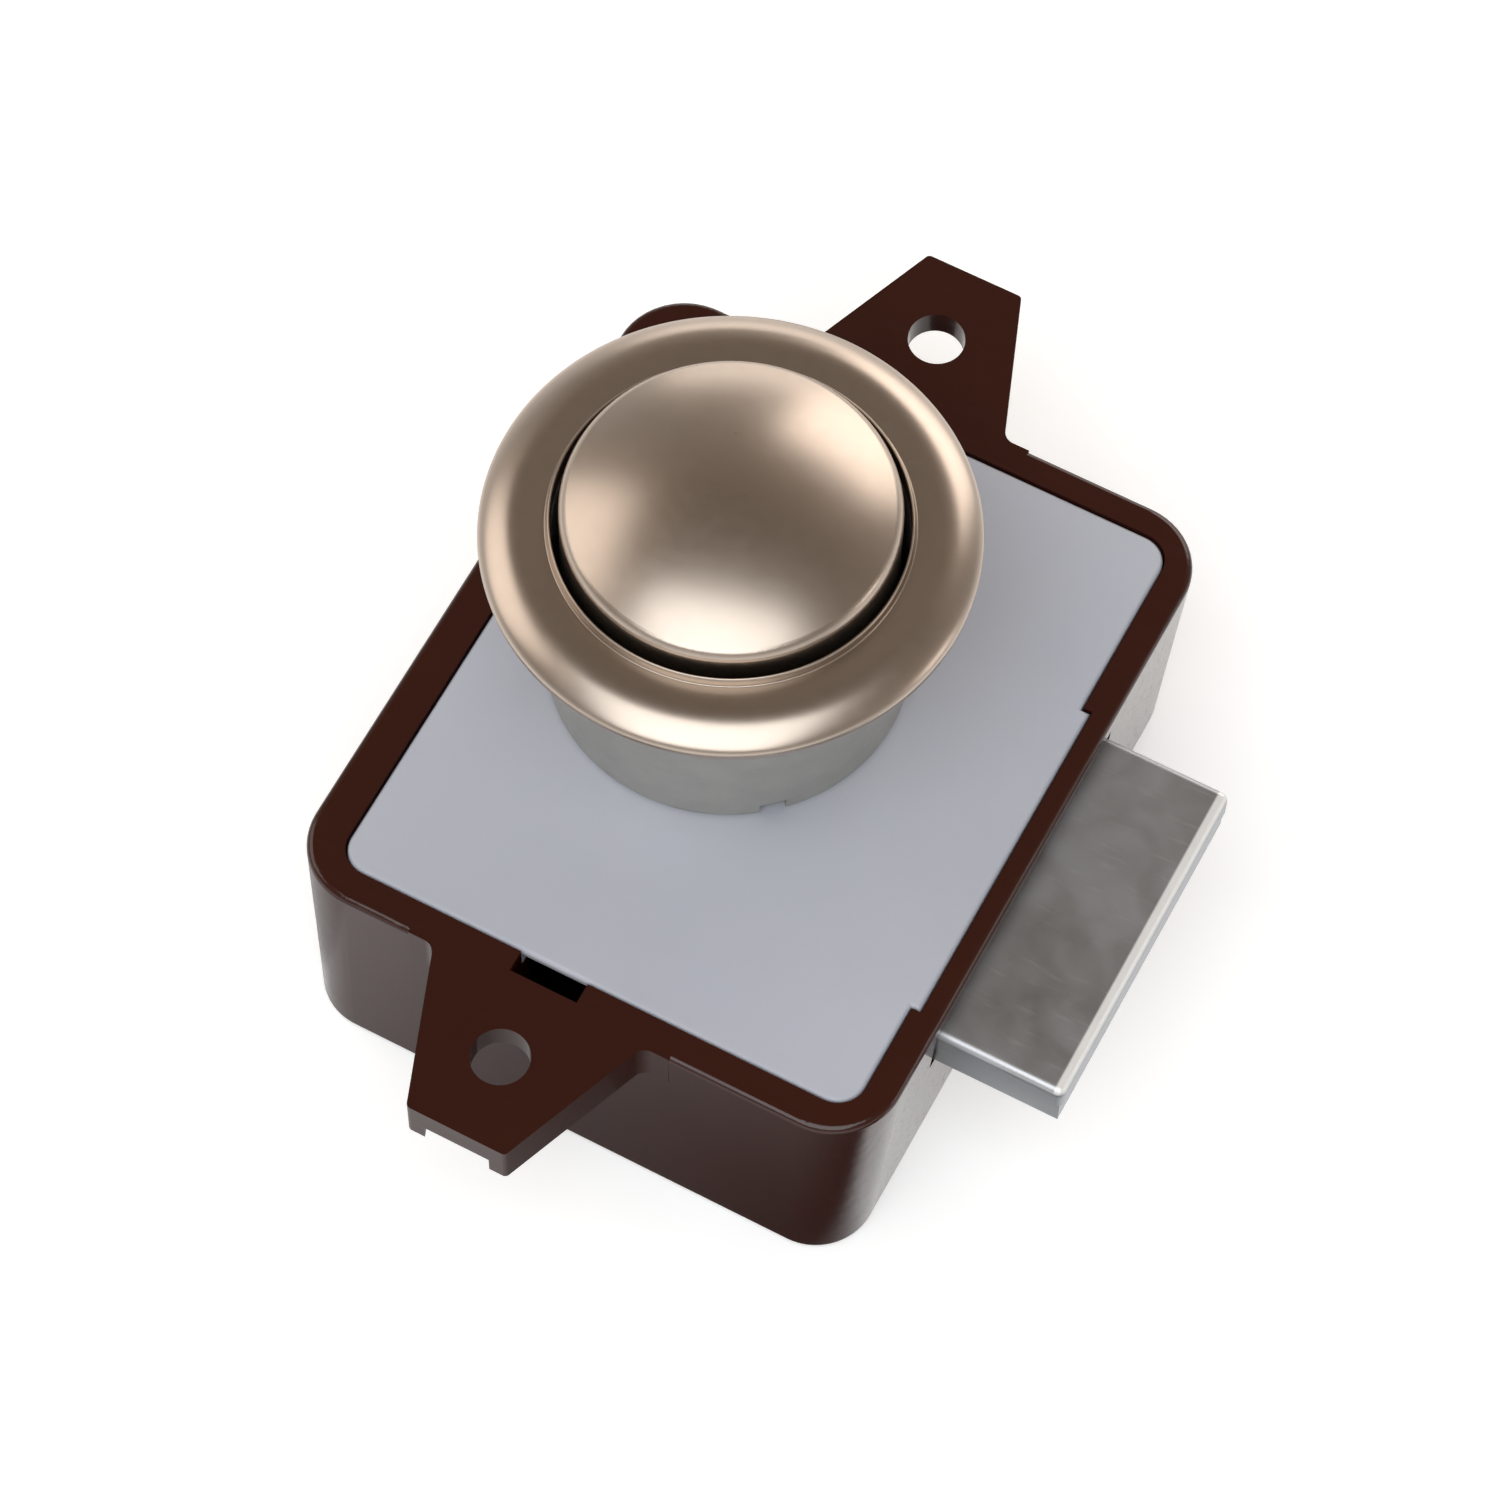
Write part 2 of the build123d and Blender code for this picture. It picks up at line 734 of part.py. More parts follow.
# Bolt: a die-cast slab, rounded along its upper edges and set back below the parting line
with BuildPart() as bolt:
    with BuildSketch(Plane.XY.offset(bolt_parting_z)):
        rectangle_between(fork_end_x, bolt_tip_x, bolt_low_y, bolt_high_y)
    extrude(amount=bolt_parting_drop)
    fillet(bolt.edges().filter_by(Axis.Z).group_by(Axis.X)[-1], bolt_corner_radius)
    fillet(bolt.faces().sort_by(Axis.Z)[-1].edges().sort_by(Axis.X)[1:], bolt_edge_radius)
    with BuildSketch(Plane.XY.offset(bolt_bottom_z)):
        rectangle_between(
            fork_end_x,
            bolt_tip_x - bolt_parting_inset,
            bolt_low_y + bolt_parting_inset,
            bolt_high_y - bolt_parting_inset,
        )
    extrude(amount=bolt_parting_z - bolt_bottom_z)
    fillet(bolt.faces().sort_by(Axis.Z)[0].edges().sort_by(Axis.X)[1:], bolt_foot_radius)

    # Shoulders that stop on the case wall, and a fork that reaches round the plunger
    with BuildSketch(Plane.XY.offset(bolt_bottom_z)):
        rectangle_between(
            shoulder_x - bolt_shoulder_length,
            shoulder_x,
            bolt_low_y - bolt_shoulder,
            bolt_high_y + bolt_shoulder,
        )
        rectangle_between(arm_end_x, shoulder_x, -arm_outer, arm_outer)
    extrude(amount=bolt_thickness)
    with BuildSketch(Plane.XY.offset(bolt_bottom_z)):
        rectangle_between(arm_end_x - overrun, fork_end_x, -fork_half, fork_half)
    extrude(amount=bolt_thickness, mode=Mode.SUBTRACT)
    for side in (-1, 1):
        with BuildSketch(Plane.XZ.offset(-side * fork_half)):
            with Locations((cam_pin_rest_x, bolt_middle_z)):
                Circle(cam_pin_radius)
        extrude(amount=-side * fork_arm_width, mode=Mode.SUBTRACT)
bolt.part.label = "bolt"

# Cam pins, one in each arm of the fork
cam_pin_tip_y = cam_floor_y + cam_pin_tip_gap
with BuildPart() as cam_pins:
    for side in (-1, 1):
        with BuildSketch(Plane.XZ.offset(-side * cam_pin_tip_y)):
            with Locations((cam_pin_rest_x, bolt_middle_z)):
                Circle(cam_pin_radius)
        extrude(amount=-side * cam_pin_length)
cam_pins.part.label = "cam_pins"

# Button cap: a drawn cup with a domed face
skirt_foot_z = barrel_height + button_skirt_gap
button_edge_z = lip_top_z + button_rise
dome_radius = (button_radius**2 + button_dome_height**2) / (2 * button_dome_height)
with BuildPart() as button_cap:
    with BuildSketch(Plane.XZ):
        with BuildLine():
            Line((0, skirt_foot_z), (button_radius, skirt_foot_z))
            Line((button_radius, skirt_foot_z), (button_radius, button_edge_z))
            ThreePointArc(
                (button_radius, button_edge_z),
                (
                    dome_radius * sin(atan2(button_radius, dome_radius - button_dome_height) / 2),
                    button_edge_z
                    + button_dome_height
                    - dome_radius
                    + dome_radius * cos(atan2(button_radius, dome_radius - button_dome_height) / 2),
                ),
                (0, button_edge_z + button_dome_height),
            )
            Line((0, button_edge_z + button_dome_height), (0, skirt_foot_z))
        make_face()
    revolve(axis=Axis.Z)
    rim_edges = button_cap.edges().filter_by(lambda edge: edge.is_closed).sort_by(Axis.Z)
    fillet(rim_edges[-1], button_edge_radius)
    offset(amount=-button_wall, openings=button_cap.faces().sort_by(Axis.Z)[0])
button_cap.part.label = "button_cap"

# Button insert: the moulded core that the cap is pressed onto
insert_radius = button_radius - button_wall - insert_gap
insert_top_z = button_edge_z - button_wall - insert_gap
with BuildPart() as button_insert:
    with BuildSketch(Plane.XZ):
        with BuildLine():
            Polyline(
                (spigot_radius + screw_gap, plunger_top_z),
                (insert_radius, plunger_top_z),
                (insert_radius, insert_top_z),
                (0, insert_top_z),
                (0, plunger_top_z + spigot_height + screw_gap),
                (spigot_radius + screw_gap, plunger_top_z + spigot_height + screw_gap),
                close=True,
            )
        make_face()
    revolve(axis=Axis.Z)
    with BuildSketch(Plane.XY.offset(insert_top_z)):
        Circle(insert_radius - insert_wall)
        Circle(spigot_radius + insert_wall, mode=Mode.SUBTRACT)
        with PolarLocations(0, 3):
            Rectangle(2 * insert_radius, insert_rib_width, mode=Mode.SUBTRACT)
    extrude(amount=plunger_top_z + insert_wall - insert_top_z, mode=Mode.SUBTRACT)
    with Locations((0, 0, plunger_top_z)):
        Hole(screw_shank_radius)
button_insert.part.label = "button_insert"

# Latch wire: stands in the boss and hooks into the track
wire_foot_z = floor_z + latch_boss_height - wire_root_depth
wire_tip_x = track_floor_x - latch_gap
with BuildPart() as latch_wire:
    with BuildLine() as wire_path:
        FilletPolyline(
            (wire_x, 0, wire_foot_z),
            (wire_x, 0, latch_z),
            (wire_tip_x, 0, latch_z),
            radius=wire_bend_radius,
        )
    with BuildSketch(wire_path.line ^ 0):
        Circle(wire_radius)
    sweep(path=wire_path.line)
latch_wire.part.label = "latch_wire"

# Leaf spring: a bent strip, screwed to the boss and leaning on the wire
leaf_foot_z = floor_z + latch_boss_height
with BuildPart() as leaf_spring:
    with BuildSketch(Plane.XZ.offset(-leaf_half_width)):
        with BuildLine():
            FilletPolyline(
                (leaf_end_x, leaf_foot_z),
                (leaf_foot_x, leaf_foot_z),
                (leaf_face_x, leaf_foot_z + leaf_rise),
                (leaf_foot_x, leaf_foot_z + leaf_rise + leaf_tail),
                radius=leaf_bend_radius,
            )
            offset(amount=leaf_thickness, side=Side.LEFT)
        make_face()
    extrude(amount=2 * leaf_half_width)
    with Locations((screw_x, 0, leaf_foot_z + leaf_thickness)):
        Hole(leaf_screw_shank_radius + screw_gap, depth=2 * leaf_thickness)
leaf_spring.part.label = "leaf_spring"

# Screw of the leaf spring
with BuildPart() as leaf_screw:
    with Locations((screw_x, 0, leaf_foot_z + leaf_thickness)):
        Cylinder(
            leaf_screw_head_radius,
            leaf_screw_head_height,
            align=(Align.CENTER, Align.CENTER, Align.MIN),
        )
        Cylinder(
            leaf_screw_shank_radius,
            leaf_screw_length,
            align=(Align.CENTER, Align.CENTER, Align.MAX),
        )
    fillet(leaf_screw.faces().sort_by(Axis.Z)[-1].edges(), leaf_screw_rounding)
    with BuildSketch(Plane.XY.offset(leaf_foot_z + leaf_thickness + leaf_screw_head_height)):
        with Locations((screw_x, 0)):
            Rectangle(leaf_screw_slot_width, 2 * leaf_screw_head_radius)
    extrude(amount=-leaf_screw_slot_depth, mode=Mode.SUBTRACT)
leaf_screw.part.label = "leaf_screw"

for piece in (
    case,
    cover_plate,
    threaded_barrel,
    rosette,
    rosette_sleeve,
    plunger,
    button_screw,
    spring_washer,
    return_spring,
    bolt,
    cam_pins,
    button_cap,
    button_insert,
    latch_wire,
    leaf_spring,
    leaf_screw,
):
    export_step(piece.part, f"parts/{piece.part.label}.step")
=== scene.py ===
"""Push button cabinet lock: finishes, fine detail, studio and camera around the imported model.

Lengths are in metres, in the frame of the model: the origin is on the button's axis in the plane
of the case's rim, +Z points out through the door and +X the way the bolt is thrown.
"""

import json
from math import cos, pi, radians, sin

import bmesh
import bpy
from mathutils import Matrix, Vector


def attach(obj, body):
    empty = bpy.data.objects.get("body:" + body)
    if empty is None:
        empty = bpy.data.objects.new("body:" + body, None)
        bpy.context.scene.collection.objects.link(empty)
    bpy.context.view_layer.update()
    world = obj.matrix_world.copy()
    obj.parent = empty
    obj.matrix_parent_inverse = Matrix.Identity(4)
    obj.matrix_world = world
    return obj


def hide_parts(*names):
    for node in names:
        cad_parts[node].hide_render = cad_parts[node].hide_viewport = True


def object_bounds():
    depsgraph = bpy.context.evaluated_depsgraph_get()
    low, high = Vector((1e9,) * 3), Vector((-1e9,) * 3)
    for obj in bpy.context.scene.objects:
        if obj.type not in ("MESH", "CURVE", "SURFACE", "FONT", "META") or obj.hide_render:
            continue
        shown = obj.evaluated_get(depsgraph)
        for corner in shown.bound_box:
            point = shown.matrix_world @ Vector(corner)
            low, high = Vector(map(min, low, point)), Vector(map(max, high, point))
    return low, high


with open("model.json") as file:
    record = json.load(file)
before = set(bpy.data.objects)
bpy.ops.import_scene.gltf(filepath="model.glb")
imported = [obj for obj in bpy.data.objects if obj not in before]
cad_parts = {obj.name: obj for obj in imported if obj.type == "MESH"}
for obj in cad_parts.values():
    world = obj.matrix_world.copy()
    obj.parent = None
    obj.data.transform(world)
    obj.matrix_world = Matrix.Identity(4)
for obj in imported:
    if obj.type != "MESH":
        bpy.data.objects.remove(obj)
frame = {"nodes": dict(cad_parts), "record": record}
cad_low, cad_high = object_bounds()
nodes = frame["nodes"]
MM = 0.001

# Camera of the photograph, fitted to its outlines
CAMERA_AZIMUTH = radians(26.47)
CAMERA_ELEVATION = radians(62.36)
CAMERA_ROLL = radians(1.7)
CAMERA_DISTANCE = 383.9 * MM
CAMERA_TARGET = Vector((4.98 * MM, -6.11 * MM, 0))
CAMERA_LENS = 132
CAMERA_SENSOR = 36
CAMERA_CLIP = (0.01, 10)

# Section of the rosette's ring as (radius, height) in mm: from its foot out over the bead, up the
# lip and down its bore
ROSETTE_SECTION = (
    (12.70, 15.00), (15.40, 15.00), (15.95, 15.02), (16.40, 15.25), (16.80, 15.75), (17.08, 16.30),
    (17.21, 16.80), (17.20, 17.12), (17.08, 17.34), (16.80, 17.58), (16.40, 17.82), (16.00, 18.02),
    (15.50, 18.23), (15.00, 18.36), (14.50, 18.41), (14.00, 18.40), (13.50, 18.37), (13.00, 18.33),
    (12.68, 18.29), (12.60, 18.30), (12.55, 18.40), (12.50, 18.68), (12.44, 18.87), (12.35, 18.94),
    (12.26, 18.88), (12.21, 18.70), (12.20, 18.20), (12.20, 17.26), (12.26, 17.20), (12.58, 17.20),
    (12.63, 17.10), (12.63, 15.10),
)
ROSETTE_STEPS = 72
ROSETTE_SMOOTHING = 2

# Barrel: its section without the thread, and that of the thread's ridge, in the same way
BARREL_SECTION = (
    (8.95, -2.00), (13.82, -2.00), (13.82, -1.20), (12.12, -1.20), (12.12, 0.80), (11.67, 1.10),
    (11.67, 6.60), (11.25, 7.00), (8.95, 7.00),
)
THREAD_SECTION = ((11.60, 1.22), (12.12, 1.58), (12.12, 1.92), (11.60, 2.28))
BARREL_STEPS = 96
THREAD_PITCH = 1.5
THREAD_TURNS = 3
THREAD_STEPS = 72
BARREL_EDGE_WIDTH = 0.05 * MM
BARREL_EDGE_SEGMENTS = 2
BARREL_EDGE_ANGLE = radians(25)
MERGE_DISTANCE = 0.001 * MM

# Painted highlight on the bolt's edges, along X, Y and Z: where each starts and where it is full
BOLT_END_HIGHLIGHT_SPAN = (34.82 * MM, 35.02 * MM)
BOLT_FRONT_HIGHLIGHT_SPAN = (-17.7 * MM, -18.1 * MM)
BOLT_TOP_HIGHLIGHT_SPAN = (-2.85 * MM, -2.5 * MM)
# How strong the painted highlight is at the end edge and at the front edge
BOLT_END_HIGHLIGHT_SHARE = 0.9
BOLT_FRONT_HIGHLIGHT_SHARE = 0.25

# Studio: a pale floor, with painted shade in front of the case and to its left that only
# reflections see
FLOOR_SIZE = 4.0
FLOOR_COLOUR = (0.80, 0.80, 0.80)
FLOOR_ROUGHNESS = 0.9
FLOOR_GLOW = 0.42
FRONT_REFLECTION_SHADE = {
    "left": -60 * MM,
    "right": 30 * MM,
    "near": -25 * MM,
    "far": -30 * MM,
    "end": -70 * MM,
    "depth": 0.95,
}
LEFT_REFLECTION_SHADE = {"near": -17 * MM, "far": -22 * MM, "end": -60 * MM, "depth": 0.5}

# Sky: its colour at each height, from 0 at the horizon to 1 overhead
SKY_STOPS = (
    (0.00, (0.86, 0.85, 0.83)),
    (0.12, (0.86, 0.85, 0.83)),
    (0.34, (0.38, 0.35, 0.32)),
    (0.70, (0.30, 0.255, 0.22)),
    (0.86, (0.20, 0.16, 0.125)),
)

# Lamps: angles in degrees, sizes in metres
SOFTBOXES = {
    "overhead_softbox": {"azimuth": 15, "elevation": 59, "size": (0.56, 0.56), "radiance": 2.8},
    "back_softbox": {"azimuth": 174, "elevation": 27, "size": (0.36, 0.30), "radiance": 2.7},
    "far_softbox": {"azimuth": 206, "elevation": 14, "size": (0.30, 0.14), "radiance": 1.5},
    "left_softbox": {"azimuth": -84, "elevation": 40, "size": (0.40, 0.34), "radiance": 1.8},
    "right_softbox": {"azimuth": 108, "elevation": 22, "size": (0.16, 0.16), "radiance": 2.2},
}
SOFTBOX_DISTANCE = 0.62
COOL_LIGHT = (0.95, 1.0, 1.04)
WARM_LIGHT = (1.0, 0.93, 0.87)


def direction(azimuth, elevation):
    """Unit vector towards an azimuth, 0 along -Y and 90 degrees along +X, and an elevation."""
    level = cos(elevation)
    return Vector((sin(azimuth) * level, -cos(azimuth) * level, sin(elevation)))


class Finish:
    """One procedural material: a shader with its patterns on the piece's own coordinates.

    The colour and roughness given are the plain ones, which the patterns then vary.
    """

    def __init__(self, name, colour, roughness, metallic=0.0):
        self.material = bpy.data.materials.new(name)
        self.material.use_nodes = True
        self.tree = self.material.node_tree
        self.tree.nodes.clear()
        self.output = self.add("ShaderNodeOutputMaterial")
        self.shader = self.add("ShaderNodeBsdfPrincipled")
        self.join(self.shader.outputs[0], self.output.inputs["Surface"])
        self.set(self.shader, "Base Color", (*colour, 1))
        self.set(self.shader, "Roughness", roughness)
        self.set(self.shader, "Metallic", metallic)
        self.place = self.add("ShaderNodeTexCoord").outputs["Object"]
        self.material.diffuse_color = (*colour, 1)

    def add(self, kind):
        return self.tree.nodes.new(kind)

    def join(self, start, end):
        self.tree.links.new(start, end)

    def set(self, node, socket, value):
        node.inputs[socket].default_value = value

    def axes(self):
        """Object coordinates as three separate values."""
        parts = self.add("ShaderNodeSeparateXYZ")
        self.join(self.place, parts.inputs[0])
        return parts.outputs["X"], parts.outputs["Y"], parts.outputs["Z"]

    def stretch(self, scale, turn=(0, 0, 0)):
        """Object coordinates, scaled and turned."""
        mapping = self.add("ShaderNodeMapping")
        self.join(self.place, mapping.inputs["Vector"])
        self.set(mapping, "Scale", scale)
        self.set(mapping, "Rotation", turn)
        return mapping.outputs[0]

    def noise(self, size, detail, vector=None, distortion=0.0):
        """Noise whose patches are about as large as the size given, in metres."""
        node = self.add("ShaderNodeTexNoise")
        self.join(vector or self.place, node.inputs["Vector"])
        self.set(node, "Scale", 1 / size)
        self.set(node, "Detail", detail)
        self.set(node, "Distortion", distortion)
        return node.outputs["Fac"]

    def ramp(self, value, start, end):
        """Rise evenly from 0 to 1 as a value goes from start to end."""
        node = self.add("ShaderNodeValToRGB")
        self.join(value, node.inputs["Fac"])
        for element, position in zip(node.color_ramp.elements, (start, end)):
            element.position = position
        return node.outputs["Color"]

    def mix(self, share, first, second):
        """Mix two colours, given as sockets or as values, by a share."""
        node = self.add("ShaderNodeMix")
        node.data_type = "RGBA"
        for name, value in (("Factor", share), ("A", first), ("B", second)):
            socket = next(s for s in node.inputs if s.name == name and s.enabled)
            if isinstance(value, bpy.types.NodeSocket):
                self.join(value, socket)
            elif name == "Factor":
                socket.default_value = value
            else:
                socket.default_value = (*value, 1)
        return next(s for s in node.outputs if s.enabled)

    def maths(self, operation, first, second, third=0.0):
        """One step of arithmetic on sockets or values."""
        node = self.add("ShaderNodeMath")
        node.operation = operation
        for socket, value in zip(node.inputs, (first, second, third)):
            if isinstance(value, bpy.types.NodeSocket):
                self.join(value, socket)
            else:
                socket.default_value = value
        return node.outputs[0]

    def product(self, first, *others):
        """Multiply sockets or values."""
        for other in others:
            first = self.maths("MULTIPLY", first, other)
        return first

    def range(self, value, low, high):
        """Spread a value of 0 to 1 between two others."""
        return self.maths("MULTIPLY_ADD", value, high - low, low)

    def fade(self, value, start, end):
        """Rise smoothly from 0 to 1 as a value goes from start to end."""
        node = self.add("ShaderNodeMapRange")
        node.interpolation_type = "SMOOTHSTEP"
        self.join(value, node.inputs["Value"])
        self.set(node, "From Min", start)
        self.set(node, "From Max", end)
        return node.outputs["Result"]

    def bump(self, *layers):
        """Raise the surface by layers of (height, depth in metres)."""
        normal = None
        for height, depth in layers:
            node = self.add("ShaderNodeBump")
            self.join(height, node.inputs["Height"])
            self.set(node, "Strength", 1.0)
            self.set(node, "Distance", depth)
            if normal:
                self.join(normal, node.inputs["Normal"])
            normal = node.outputs["Normal"]
        self.join(normal, self.shader.inputs["Normal"])

    def drive(self, socket, value):
        self.join(value, self.shader.inputs[socket])


def case_plastic():
    """Glossy dark red-brown moulding, with the faint waviness and hair scratches of one."""
    brown = (0.034, 0.0065, 0.003)
    warm_brown = (0.037, 0.0075, 0.0035)
    deep_brown = (0.030, 0.0055, 0.0025)
    patch_size, scratch_width, wave_size, grain_size = 6 * MM, 0.5 * MM, 4 * MM, 0.25 * MM
    wave_depth, grain_depth = 0.012 * MM, 0.0006 * MM
    finish = Finish("case_plastic", brown, 0.17)
    finish.drive("Base Color", finish.mix(finish.noise(patch_size, 2), warm_brown, deep_brown))
    along_scratches = finish.stretch((0.08, 1, 1), (0, 0, radians(32)))
    scratches = finish.noise(scratch_width, 2, along_scratches)
    haze = finish.ramp(scratches, 0.55, 0.75)
    finish.drive("Roughness", finish.range(haze, 0.15, 0.24))
    finish.set(finish.shader, "IOR", 1.48)
    waves, grain = finish.noise(wave_size, 1), finish.noise(grain_size, 2)
    finish.bump((waves, wave_depth), (grain, grain_depth))
    return finish.material


def cover_plastic():
    """Milky, slightly translucent blue-grey moulding, a little cloudy."""
    milky, bluish = (0.47, 0.495, 0.57), (0.44, 0.47, 0.55)
    pale, greyish = (0.50, 0.52, 0.58), (0.47, 0.485, 0.54)
    cloud_size, tint_size, sheen_size = 14 * MM, 5 * MM, 3 * MM
    wave_size, grain_size = 7 * MM, 0.2 * MM
    wave_depth, grain_depth = 0.01 * MM, 0.0015 * MM
    finish = Finish("cover_plastic", milky, 0.42)
    base = finish.mix(finish.noise(cloud_size, 2, distortion=0.4), bluish, pale)
    finish.drive("Base Color", finish.mix(finish.noise(tint_size, 3), base, greyish))
    finish.set(finish.shader, "Subsurface Weight", 0.35)
    finish.set(finish.shader, "Subsurface Radius", (1, 1, 1.1))
    finish.set(finish.shader, "Subsurface Scale", 1.2 * MM)
    finish.drive("Roughness", finish.range(finish.noise(sheen_size, 3), 0.36, 0.48))
    waves, grain = finish.noise(wave_size, 1), finish.noise(grain_size, 2)
    finish.bump((waves, wave_depth), (grain, grain_depth))
    return finish.material


def nickel():
    """Satin champagne nickel plating: a soft sheen, barely patchy."""
    champagne = (0.47, 0.40, 0.34)
    dark_champagne = (0.455, 0.385, 0.325)
    light_champagne = (0.49, 0.415, 0.355)
    patch_size, sheen_size, grain_size, grain_depth = 5 * MM, 0.8 * MM, 0.12 * MM, 0.0006 * MM
    finish = Finish("nickel", champagne, 0.29, metallic=1.0)
    patches = finish.noise(patch_size, 3)
    finish.drive("Base Color", finish.mix(patches, dark_champagne, light_champagne))
    finish.drive("Roughness", finish.range(finish.noise(sheen_size, 3), 0.26, 0.32))
    finish.bump((finish.noise(grain_size, 2), grain_depth))
    return finish.material


def turned_zinc(name, colour, roughness, pitch):
    """Bare grey zinc with rings left by the lathe along its axis."""
    dull = tuple(0.91 * channel for channel in colour)
    blotch_size, grain_size = 2.5 * MM, 0.15 * MM
    ring_depth, grain_depth = 0.003 * MM, 0.001 * MM
    finish = Finish(name, colour, roughness, metallic=1.0)
    rings = finish.noise(pitch, 1, finish.stretch((0.02, 0.02, 1)))
    blotches = finish.ramp(finish.noise(blotch_size, 4), 0.35, 0.7)
    finish.drive("Base Color", finish.mix(blotches, colour, dull))
    finish.drive("Roughness", finish.range(rings, roughness - 0.06, roughness + 0.1))
    finish.bump((rings, ring_depth), (finish.noise(grain_size, 2), grain_depth))
    return finish.material


def zinc_plate():
    """Dull zinc-plated casting: mottled, with faint scuffs along its throw, and a painted
    highlight along its upper end and front edges.
    """
    zinc, dark_zinc, pale_zinc = (0.44, 0.44, 0.44), (0.33, 0.34, 0.357), (0.38, 0.40, 0.43)
    grain_zinc, scuffed_zinc = (0.46, 0.46, 0.465), (0.62, 0.62, 0.62)
    painted_highlight_zinc = (0.90, 0.90, 0.89)
    cloud_size, grain_size, scuff_width, pit_size = 5 * MM, 0.7 * MM, 0.35 * MM, 0.1 * MM
    grain_depth, pit_depth = 0.004 * MM, 0.001 * MM
    finish = Finish("zinc_plate", zinc, 0.40, metallic=1.0)
    clouds = finish.ramp(finish.noise(cloud_size, 3, distortion=0.5), 0.3, 0.7)
    grain = finish.noise(grain_size, 3)
    along_throw = finish.stretch((0.12, 1, 1))
    scuffs = finish.ramp(finish.noise(scuff_width, 2, along_throw), 0.6, 0.8)
    base = finish.mix(clouds, dark_zinc, pale_zinc)
    base = finish.mix(finish.product(grain, 0.35), base, grain_zinc)
    base = finish.mix(finish.product(scuffs, 0.3), base, scuffed_zinc)
    # Painted highlight: a paler, less metallic band along the bolt's upper end and front edges
    x, y, z = finish.axes()
    end = finish.product(finish.fade(x, *BOLT_END_HIGHLIGHT_SPAN), BOLT_END_HIGHLIGHT_SHARE)
    front = finish.product(finish.fade(y, *BOLT_FRONT_HIGHLIGHT_SPAN), BOLT_FRONT_HIGHLIGHT_SHARE)
    top = finish.fade(z, *BOLT_TOP_HIGHLIGHT_SPAN)
    painted_highlight = finish.product(finish.maths("MAXIMUM", end, front), top)
    finish.drive("Base Color", finish.mix(painted_highlight, base, painted_highlight_zinc))
    finish.drive("Metallic", finish.range(painted_highlight, 1.0, 0.3))
    finish.drive("Roughness", finish.range(clouds, 0.36, 0.46))
    finish.bump((grain, grain_depth), (finish.noise(pit_size, 2), pit_depth))
    return finish.material


def core_plastic():
    """Off-white moulded acetal."""
    off_white, cream, pale_cream = (0.70, 0.69, 0.64), (0.68, 0.67, 0.62), (0.73, 0.72, 0.67)
    patch_size, grain_size, grain_depth = 6 * MM, 0.3 * MM, 0.002 * MM
    finish = Finish("core_plastic", off_white, 0.38)
    finish.drive("Base Color", finish.mix(finish.noise(patch_size, 2), cream, pale_cream))
    finish.set(finish.shader, "Subsurface Weight", 0.2)
    finish.set(finish.shader, "Subsurface Scale", 1.0 * MM)
    finish.bump((finish.noise(grain_size, 2), grain_depth))
    return finish.material


def drawn_steel(name, colour, roughness):
    """Bright steel with fine drawing marks."""
    dull = tuple(0.8 * channel for channel in colour)
    mark_width, mark_depth = 0.2 * MM, 0.002 * MM
    finish = Finish(name, colour, roughness, metallic=1.0)
    marks = finish.noise(mark_width, 2, finish.stretch((1, 1, 0.1)))
    finish.drive("Base Color", finish.mix(marks, colour, dull))
    finish.drive("Roughness", finish.range(marks, roughness - 0.06, roughness + 0.08))
    finish.bump((marks, mark_depth))
    return finish.material


finishes = {
    "case_plastic": case_plastic(),
    "cover_plastic": cover_plastic(),
    "nickel": nickel(),
    "sleeve_zinc": turned_zinc("sleeve_zinc", (0.53, 0.52, 0.475), 0.40, 0.12 * MM),
    "barrel_zinc": turned_zinc("barrel_zinc", (0.30, 0.30, 0.285), 0.42, 0.2 * MM),
    "zinc_plate": zinc_plate(),
    "core_plastic": core_plastic(),
    "spring_steel": drawn_steel("spring_steel", (0.42, 0.41, 0.39), 0.30),
    "steel": drawn_steel("steel", (0.50, 0.50, 0.49), 0.28),
}
for subpart in frame["record"]["subparts"]:
    for material_slot in nodes[subpart["node"]].material_slots:
        material_slot.material = finishes.get(subpart["material_slot"], finishes["steel"])


def finished_piece(name, mesh, slot, body, node):
    """Link a new piece in place of a node, with the finish of its slot, riding on its body."""
    data = bpy.data.meshes.new(name)
    mesh.to_mesh(data)
    mesh.free()
    data.materials.append(finishes[slot])
    for face in data.polygons:
        face.use_smooth = True
    piece = bpy.data.objects.new(name, data)
    bpy.context.scene.collection.objects.link(piece)
    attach(piece, body)
    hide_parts(node)
    return piece


def outline(mesh, section):
    """Corners and edges of a closed section of (radius, height) in mm, drawn on the XZ plane."""
    corners = [mesh.verts.new((radius * MM, 0, height * MM)) for radius, height in section]
    edges = [mesh.edges.new(pair) for pair in zip(corners, corners[1:] + corners[:1])]
    return corners, edges


def turned(section, steps):
    """Mesh turned about the button's axis from a closed section."""
    mesh = bmesh.new()
    corners, edges = outline(mesh, section)
    bmesh.ops.spin(
        mesh,
        geom=corners + edges,
        cent=(0, 0, 0),
        axis=(0, 0, 1),
        angle=2 * pi,
        steps=steps,
        use_merge=True,
    )
    bmesh.ops.remove_doubles(mesh, verts=mesh.verts, dist=MERGE_DISTANCE)
    bmesh.ops.recalc_face_normals(mesh, faces=mesh.faces)
    return mesh


def rosette_face():
    """The ring on the door: a broad rolled bead, a crease and a thin lip round the button."""
    mesh = turned(ROSETTE_SECTION, ROSETTE_STEPS)
    ring = finished_piece("rosette_face", mesh, "nickel", "rosette", "rosette")
    smooth = ring.modifiers.new("smooth", "SUBSURF")
    smooth.levels = ROSETTE_SMOOTHING
    smooth.render_levels = ROSETTE_SMOOTHING


